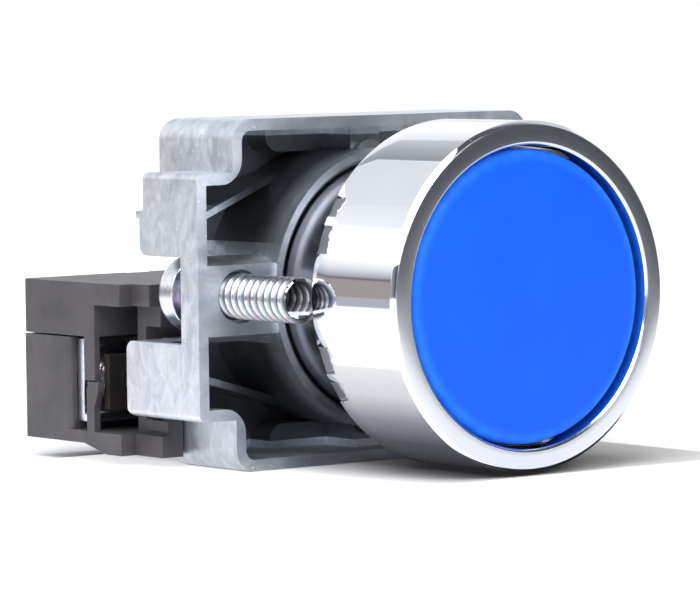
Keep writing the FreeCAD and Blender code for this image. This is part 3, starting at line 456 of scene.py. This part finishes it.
# ================================================================ plunger
# The moulding behind the cap that runs in the barrel and pushes the contact block with its two
# legs. It is dark glass-filled nylon.
NYLON = (0.022, 0.021, 0.024, 1)
NYLON_PALE = (0.05, 0.048, 0.052, 1)
nylon, place, feed = new_finish("dark_nylon")
fibre = place.stretched((1, 0.3, 1)).noise(0.25, 4.0)
feed(Base_Color=fibre.blend(NYLON, NYLON_PALE),
     Roughness=0.38 + fibre * 0.25,
     Normal=raised(fibre, 0.012, 0.5))
plunger = fettled("plunger", "button_plunger", 0.1)
fit(plunger, "button", "dark_plunger", nylon, "plunger")


# ================================================================ fixing collar
# The frame behind the panel that grips the barrel and carries the contact block. It is one zinc
# die casting with rounded edges, left as cast, with a satin bluish skin, flow marks and nicks.
ZINC = (0.78, 0.815, 0.86, 1)
ZINC_SHADE = (0.47, 0.52, 0.59, 1)
ZINC_WORN = (0.96, 0.97, 0.98, 1)
# The pockets beside the tube are blended to a dark grey: painted shade where they lie in shadow.
POCKET_PAINTED_SHADE = (0.07, 0.075, 0.085, 1)
POCKET_DEPTHS = (9.4, 18.9)      # the pockets beside the tube darken between these
POCKET_HEIGHTS = (4.3, 13.3)
POCKET_SIDE = 14.95
EAR_SIDE = 16.9                  # the pockets are wider behind the ears, below this height:
EAR_HEIGHT = 9.7
collar = fettled("fixing_collar", "die_cast_collar", 0.22, 3, 34)
zinc, place, feed = new_finish("cast_zinc")
flow = place.stretched((0.6, 1.7, 1.0), (0.2, 0.4, 0.1)).noise(2.4, 6.0, Distortion=1.3)
skin = place.noise(0.4, 5.0)
nicks = (hairlines(place, 2.6, 0.07, (0.9, 0.2, 0.5), 0.56)
         + (place.noise(0.5, 1.0) > 0.77)).clamped()
tone = ((flow - 0.5) * 1.9 + 0.55 + (skin - 0.5) * 0.5).clamped()
across, depth, height = abs(place.along("X")), place.along("Y"), abs(place.along("Z"))
# Painted shade: this mask darkens the pockets beside the tube by depth, side and height.
pocket_shade = ((depth * (1 / MM) - POCKET_DEPTHS[0]) * 0.45).clamped() * (depth < POCKET_DEPTHS[1] * MM)
inside = ((across < POCKET_SIDE * MM)
          + (across < EAR_SIDE * MM) * (height < EAR_HEIGHT * MM)).clamped()
pocket_shade = pocket_shade * inside * (height > POCKET_HEIGHTS[0] * MM)
pocket_shade = pocket_shade * (height < POCKET_HEIGHTS[1] * MM) * 0.8
feed(Metallic=1.0,
     Base_Color=pocket_shade.blend(nicks.blend(tone.blend(ZINC_SHADE, ZINC), ZINC_WORN), POCKET_PAINTED_SHADE),
     Roughness=0.30 + flow * 0.18 + skin * 0.10 - nicks * 0.12,
     Normal=raised(skin * 0.7 + flow * 0.6 - nicks * 0.5, 0.035, 0.55))
fit(collar, "base", "zinc_casting", zinc, "fixing_collar")


# ================================================================ clamp screws
# Two M4 pan-head screws that are driven from behind and press on the panel. They are steel with
# a rolled thread and a clear chromate skin over zinc, which shows faint pink, green and violet.
THREAD_PITCH = 0.93
THREAD_TURNS = 17
THREAD_CREST = 1.95
THREAD_ROOT = 1.42
SCREW_AXIS = 15.6
SCREW_TIP = 0.1
SCREW_HEAD_FRONT = 14.2
SCREW_RUN_IN = 0.95              # the thread starts this far before the tip, and is cut there
TIP_TAPER = 0.95
PLATING = (0.78, 0.81, 0.86, 1)
PLATING_TINTS = ((0.34, (0.80, 0.50, 0.70, 1)), (0.43, (0.62, 0.60, 0.88, 1)),
                 (0.50, (0.58, 0.82, 0.72, 1)), (0.57, (0.86, 0.80, 0.74, 1)),
                 (0.66, (0.70, 0.50, 0.80, 1)))
# The thread below its crests is painted this dark grey: painted shade in the thread's grooves.
THREAD_VALLEY_SHADE = (0.10, 0.10, 0.12, 1)


def threaded_shank():
    """A rolled thread: one tooth is drawn by extruding a point, then wound round the Y axis."""
    bpy.ops.object.select_all(action="DESELECT")
    bpy.ops.mesh.primitive_plane_add(size=0.1 * MM, location=(0, 0, 0))
    shank = bpy.context.object
    bpy.ops.object.mode_set(mode="EDIT")
    bpy.ops.mesh.select_all(action="SELECT")
    bpy.ops.mesh.merge(type="CENTER")
    bpy.ops.transform.translate(value=(THREAD_ROOT * MM, (SCREW_TIP - SCREW_RUN_IN) * MM, 0))
    rise = THREAD_CREST - THREAD_ROOT
    for out, on in ((0.05, 0.06), (rise - 0.1, 0.26), (0.05, 0.05), (0, 0.10), (-0.05, 0.05),
                    (0.1 - rise, 0.26), (-0.05, 0.06), (0, THREAD_PITCH - 0.84)):
        bpy.ops.mesh.extrude_region()
        bpy.ops.transform.translate(value=(out * MM, on * MM, 0))
    bpy.ops.object.mode_set(mode="OBJECT")
    wind = shank.modifiers.new("winding", "SCREW")
    wind.axis = "Y"
    wind.angle = math.tau
    wind.screw_offset = THREAD_PITCH * MM
    wind.iterations = THREAD_TURNS
    wind.steps = wind.render_steps = 40
    wind.use_merge_vertices = True
    wind.merge_threshold = 0.0005 * MM
    apply_last(shank)
    bpy.ops.object.mode_set(mode="EDIT")
    bpy.ops.mesh.select_all(action="SELECT")
    bpy.ops.mesh.remove_doubles(threshold=0.0005 * MM)
    bpy.ops.object.mode_set(mode="OBJECT")
    for cut, keep_front in ((SCREW_TIP, False), (SCREW_HEAD_FRONT + 0.5, True)):
        pick(shank, lambda p: True)
        bpy.ops.mesh.bisect(plane_co=(0, cut * MM, 0), plane_no=(0, 1, 0), use_fill=True,
                            clear_inner=not keep_front, clear_outer=keep_front)
        bpy.ops.object.mode_set(mode="OBJECT")
    pick(shank, lambda p: p.y < SCREW_TIP + 0.02)
    bpy.ops.transform.resize(value=(TIP_TAPER, 1, TIP_TAPER), center_override=(0, 0, 0))
    bpy.ops.mesh.select_all(action="SELECT")
    bpy.ops.mesh.normals_make_consistent(inside=False)
    bpy.ops.object.mode_set(mode="OBJECT")
    return shank


plated, place, feed = new_finish("zinc_plated_steel")
# Painted shade: inside the crests the shank is darkened, along the shank only, not on the tip's end
# face.
off_axis = abs(place.along("X")) - SCREW_AXIS * MM
reach = (off_axis * off_axis + place.along("Z") * place.along("Z")) * (1 / MM ** 2)
valley_shade = (((THREAD_CREST ** 2 - 0.25 - reach) * 0.9).clamped()
          * (place.along("Y") < 14 * MM) * (place.along("Y") > 0.15 * MM))
sheen = place.stretched((1.0, 1.6, 0.8), (0.5, 0.1, 0.7)).noise(0.8, 3.0, Distortion=0.8)
tint = sheen.node("ShaderNodeValToRGB", {"stops": PLATING_TINTS}, {0: sheen}, 0)
dull = place.noise(0.3, 4.0)
feed(Metallic=1.0,
     Base_Color=valley_shade.blend((place.noise(0.8, 2.0) * 0.7).clamped().blend(tint, PLATING),
                             THREAD_VALLEY_SHADE),
     Roughness=0.14 + dull * 0.18 + valley_shade * 0.2,
     Normal=raised(dull, 0.01, 0.45))
for side, x in (("left", -SCREW_AXIS), ("right", SCREW_AXIS)):
    head = fettled("clamp_screw_" + side, "clamp_head_" + side, 0)
    pick(head, lambda p: p.y < SCREW_HEAD_FRONT - 0.05)
    bpy.ops.mesh.delete(type="VERT")
    bpy.ops.mesh.select_non_manifold()
    bpy.ops.mesh.edge_face_add()
    bpy.ops.mesh.select_all(action="SELECT")
    bpy.ops.mesh.normals_make_consistent(inside=False)
    bpy.ops.object.mode_set(mode="OBJECT")
    break_edges(head, 0.12, 3, 35)
    shank = threaded_shank()
    pick(shank, lambda p: True)
    bpy.ops.transform.translate(value=(x * MM, 0, 0))
    bpy.ops.object.mode_set(mode="OBJECT")
    bpy.ops.object.select_all(action="DESELECT")
    shank.select_set(True)
    head.select_set(True)
    bpy.context.view_layer.objects.active = head
    bpy.ops.object.join()
    polish(head, 32)
    fit(head, "clamp_" + side, "plated_screw", plated, "clamp_screw_" + side)


# ================================================================ contact block
# The plug-on block that switches the current. Its case is two mouldings in charcoal glass-filled
# polyamide, housing below and cover above, snapped together, with a fine spark-eroded grain.
CHARCOAL = (0.034, 0.031, 0.036, 1)
CHARCOAL_PALE = (0.085, 0.079, 0.090, 1)
CHARCOAL_RUB = (0.16, 0.155, 0.165, 1)
TOP_LINE = 28.4                  # a fine groove across the cover's top
TOP_FACE = 0.6
case, place, feed = new_finish("charcoal_polyamide")
texture = place.noise(0.14, 4.0, Roughness=0.7)
swirl = place.noise(4.0, 5.0, Distortion=0.9)
scuffs = hairlines(place, 3.0, 0.08, (0.2, 0.9, 0.3), 0.55)
line = (abs(place.along("Y") - TOP_LINE * MM) < 0.11 * MM) * (place.along("Z") > TOP_FACE * MM)
tone = ((swirl - 0.5) * 1.4 + texture * 0.6 + 0.15).clamped()
feed(Base_Color=(scuffs * 0.5).blend(tone.blend(CHARCOAL, CHARCOAL_PALE), CHARCOAL_RUB),
     Roughness=0.36 + texture * 0.22 - scuffs * 0.08,
     Normal=raised(texture * 0.8 - line * 3.0, 0.02, 0.6))
housing = fettled("contact_housing", "block_housing", 0.12, 2)
fit(housing, "base", "block_plastic", case, "contact_housing")
cover = fettled("contact_cover", "block_cover", 0.12, 2)
fit(cover, "base", "block_plastic", case, "contact_cover")


# ================================================================ pusher of the contact block
# The green slider that the plunger's legs push, and that shows that the block opens or closes.
# It is moulded in plain polyamide.
PUSHER_GREEN = (0.012, 0.22, 0.07, 1)
PUSHER_PALE = (0.03, 0.32, 0.12, 1)
green, place, feed = new_finish("green_polyamide")
tone = place.noise(0.5, 4.0)
feed(Base_Color=tone.blend(PUSHER_GREEN, PUSHER_PALE),
     Roughness=0.36 + tone * 0.2,
     Normal=raised(place.noise(0.15, 3.0), 0.01, 0.5))
pusher = fettled("contact_plunger", "green_slider", 0.12)
fit(pusher, "pusher", "green_pusher", green, "contact_plunger")


# ================================================================ bridge, strips and tips
# The moving bridge and the two fixed strips are stamped brass, and their tips are silver rivets.
# The strips drop in slots of the housing.
CHAMBER_SIDE = 8.5               # outside the contact chamber the strips are painted dark: painted shade inside the housing
BRASS = (0.80, 0.58, 0.26, 1)
BRASS_PAINTED_SHADE = (0.05, 0.044, 0.040, 1)
BRASS_DULL = (0.52, 0.36, 0.16, 1)
SILVER = (0.82, 0.82, 0.80, 1)
SILVER_DULL = (0.55, 0.54, 0.50, 1)
brass, place, feed = new_finish("stamped_brass")
tarnish = place.noise(1.1, 5.0)
drawn = place.stretched((1, 0.08, 1)).noise(0.08, 2.0)
# Painted shade: outside the contact chamber, deep in the housing, the brass is blended to near
# black.
strip_shade = (abs(place.along("X")) > CHAMBER_SIDE * MM) * 1.0
feed(Metallic=1.0,
     Base_Color=strip_shade.blend(tarnish.blend(BRASS_DULL, BRASS), BRASS_PAINTED_SHADE),
     Roughness=0.24 + tarnish * 0.2 + strip_shade * 0.3,
     Normal=raised(drawn, 0.004, 0.4))
for node, name, body in (("moving_bridge", "brass_bridge", "bridge"),
                         ("fixed_contact_left", "brass_strip_left", "base"),
                         ("fixed_contact_right", "brass_strip_right", "base")):
    fit(fettled(node, name, 0.05), body, "brass_strip", brass, node)
silver, place, feed = new_finish("silver_tips")
tone = place.noise(0.4, 4.0)
feed(Metallic=1.0, Base_Color=tone.blend(SILVER_DULL, SILVER), Roughness=0.3 + tone * 0.2,
     Normal=raised(tone, 0.01, 0.4))
for node, name, body in (("bridge_tips", "silver_bridge_tips", "bridge"),
                         ("fixed_tips", "silver_strip_tips", "base")):
    fit(fettled(node, name, 0.06), body, "silver_tip", silver, node)


# ================================================================ terminals
# A captive saddle and a pan-head screw clamp each wire on its strip. Both are plated like the
# clamp screws.
for side in ("left", "right"):
    saddle = fettled("terminal_saddle_" + side, "clamping_saddle_" + side, 0.1)
    fit(saddle, "terminal_" + side, "plated_screw", plated, "terminal_saddle_" + side)
    screw = fettled("terminal_screw_" + side, "binding_screw_" + side, 0.1)
    fit(screw, "terminal_" + side, "plated_screw", plated, "terminal_screw_" + side)


# ================================================================ floor and studio
# A pale paper floor under the switch, two softboxes and a broad lamp overhead, and a bright room
# whose grey edges the chrome picks up. None of it belongs to the switch.
FLOOR_Z = -15.0
FLOOR_DROP = 0.02
FLOOR_SIZE = (24, 12.2)          # metres
FLOOR_BACK = 5.96
FLOOR_TURN = 37.9
PAPER = (0.93, 0.93, 0.935, 1)
bpy.ops.object.select_all(action="DESELECT")
bpy.ops.mesh.primitive_plane_add(size=1.0, location=(0, 0, 0))
floor = bpy.context.object
floor.name = "paper_floor"
bpy.ops.object.mode_set(mode="EDIT")
bpy.ops.mesh.select_all(action="SELECT")
bpy.ops.transform.resize(value=(*FLOOR_SIZE, 1), center_override=(0, 0, 0))
bpy.ops.transform.translate(value=(0, FLOOR_BACK, (FLOOR_Z - FLOOR_DROP) * MM))
bpy.ops.object.mode_set(mode="OBJECT")
floor.data.transform(Matrix.Rotation(math.radians(FLOOR_TURN), 4, "Z"))
paper, place, feed = new_finish("white_paper")
feed(Base_Color=place.noise(40.0, 3.0).blend(PAPER, (0.95, 0.95, 0.95, 1)), Roughness=0.9,
     Normal=raised(place.noise(0.6, 3.0), 0.01, 0.2))
floor.data.materials.append(paper)


def studio_card(name, centre, facing, size, grey, edge=None):
    """A card that only mirrors and lights; the camera doesn't see it."""
    bpy.ops.object.select_all(action="DESELECT")
    bpy.ops.mesh.primitive_plane_add(size=1.0, location=(0, 0, 0))
    card = bpy.context.object
    card.name = name
    turn = Vector(facing).to_track_quat("Z", "Y").to_matrix().to_4x4()
    stretch = Matrix.Diagonal((size[0] * MM, size[1] * MM, 1, 1))
    card.data.transform(Matrix.Translation(Vector(centre) * MM) @ turn @ stretch)
    board = bpy.data.materials.new(name)
    board.use_nodes = True
    board.node_tree.nodes.remove(board.node_tree.nodes["Principled BSDF"])
    if edge:
        along = Grain(board.node_tree).node("ShaderNodeTexCoord", None, None, "Object").along("X")
        grey = along.node("ShaderNodeValToRGB", {"stops": edge}, {0: along * 20 + 0.5})
    light = Grain(board.node_tree).node("ShaderNodeEmission", None,
                                        {"Color": grey, "Strength": 1.0})
    board.node_tree.links.new(light.socket, board.node_tree.nodes["Material Output"].inputs[0])
    card.data.materials.append(board)
    card.visible_camera = False
    card.visible_shadow = False


studio_card("floor_edge", (-105, 130, -9.1), (0.63, -0.77, 0), (150, 11.8), (0.50, 0.50, 0.55, 1))
studio_card("table_edge", (-105, 130, 7.4), (0.63, -0.77, 0), (150, 21.2), (0.40, 0.36, 0.35, 1))
studio_card("under_shadow", (1, 10, -14.97), (0, 0, 1), (46, 42), None, (
    (0.06, (1.0, 1.0, 1.0, 1)), (0.20, (0.80, 0.80, 0.82, 1)), (0.29, (0.30, 0.31, 0.34, 1)),
    (0.36, (0.10, 0.10, 0.12, 1)), (0.46, (0.02, 0.02, 0.022, 1))))

world = bpy.data.worlds.new("studio_room")
bpy.context.scene.world = world
world.use_nodes = True
room = world.node_tree
sky = Grain(room).node("ShaderNodeTexCoord", None, None, "Generated")
side_x, side_y, height = sky.along("X"), sky.along("Y"), sky.along("Z")
overhead = side_x.node("ShaderNodeValToRGB", {"stops": (
    (0.0, (0.95, 0.97, 1.0, 1)), (0.551, (0.83, 0.86, 0.90, 1)), (0.552, (1.1, 1.1, 1.1, 1)),
    (0.556, (1.1, 1.1, 1.1, 1)), (0.558, (0.34, 0.36, 0.39, 1)), (0.625, (0.50, 0.53, 0.57, 1)),
    (0.70, (0.74, 0.77, 0.80, 1)), (1.0, (0.66, 0.69, 0.73, 1)))},
    {0: (side_x * 0.5 + 0.5)})
wall = height.node("ShaderNodeValToRGB", {"stops": (
    (0.0, (0.30, 0.30, 0.32, 1)), (0.551, (0.36, 0.32, 0.31, 1)), (0.556, (0.07, 0.06, 0.07, 1)),
    (0.560, (0.40, 0.40, 0.46, 1)), (0.591, (0.90, 0.90, 0.94, 1)), (0.624, (1.25, 1.25, 1.25, 1)),
    (0.717, (1.25, 1.25, 1.25, 1)), (0.724, (1.03, 1.05, 1.08, 1)), (0.80, (0.86, 0.89, 0.93, 1)))},
    {0: height * 0.5 + 0.5})
low_right = (side_x > 0.35) * (height < 0.16)
rear = ((height > 0.52) * (side_x > -0.30)).blend(wall, overhead)
rear = low_right.blend(rear, (1.0, 1.0, 1.0, 1))
front = ((side_x * -1.0 - 0.75) * 5.0).clamped()
front = front.blend((0.10, 0.105, 0.12, 1), (0.60, 0.62, 0.66, 1))
reflected = ((side_y + 0.15) * 6).clamped().blend(front, rear)
seen = sky.node("ShaderNodeLightPath", None, None, "Is Camera Ray")
backdrop = seen.blend(reflected, (1.0, 1.0, 1.0, 1))
room.links.new(backdrop.socket, room.nodes["Background"].inputs["Color"])
room.nodes["Background"].inputs["Strength"].default_value = 1.0


def soft_light(name, place, aim, size, power, mirrored):
    """A square softbox that points at the aim."""
    lamp = bpy.data.lights.new(name, "AREA")
    lamp.shape = "SQUARE"
    lamp.size = size
    lamp.energy = power
    box = bpy.data.objects.new(name, lamp)
    bpy.context.scene.collection.objects.link(box)
    box.location = place
    box.rotation_mode = "QUATERNION"
    box.rotation_quaternion = (Vector(place) - Vector(aim)).to_track_quat("Z", "Y")
    box.visible_glossy = mirrored


soft_light("front_softbox", (-0.08, -0.72, 0.42), (0, 0, 0), 0.45, 3.6, True)
soft_light("left_softbox", (-0.62, -0.40, 0.45), (0, 0.02, 0), 0.5, 2.6, True)
sun = bpy.data.lights.new("skylight", "SUN")
sun.energy = 2.4
sun.angle = math.radians(50)
sky_lamp = bpy.data.objects.new("skylight", sun)
bpy.context.scene.collection.objects.link(sky_lamp)
sky_lamp.rotation_mode = "QUATERNION"
sky_lamp.rotation_quaternion = Vector((-0.45, -0.30, 1.0)).to_track_quat("Z", "Y")


# ================================================================ camera
# A long lens at the side of the front, a little above the switch.
TURN, RISE, ROLL = math.radians(-37.868), math.radians(3.704), math.radians(-0.781)
DISTANCE = 0.39773                    # metres from the middle of the panel's face
AIM_RIGHT, AIM_UP = 0.008415, 0.000710
back = Vector((math.sin(TURN) * math.cos(RISE), -math.cos(TURN) * math.cos(RISE), math.sin(RISE)))
right = (-back).cross(Vector((0, 0, 1))).normalized()
up = right.cross(-back)
right, up = (right * math.cos(ROLL) + up * math.sin(ROLL),
             up * math.cos(ROLL) - right * math.sin(ROLL))
lens = bpy.data.cameras.new("camera")
lens.lens = 239.86
lens.sensor_width = 36.0
lens.clip_start, lens.clip_end = 0.01, 60.0
camera = bpy.data.objects.new("camera", lens)
bpy.context.scene.collection.objects.link(camera)
axes = Matrix((right, up, back)).transposed().to_4x4()
camera.matrix_world = Matrix.Translation(back * DISTANCE - right * AIM_RIGHT - up * AIM_UP) @ axes
bpy.context.scene.camera = camera
bpy.context.scene.view_settings.view_transform = "Standard"
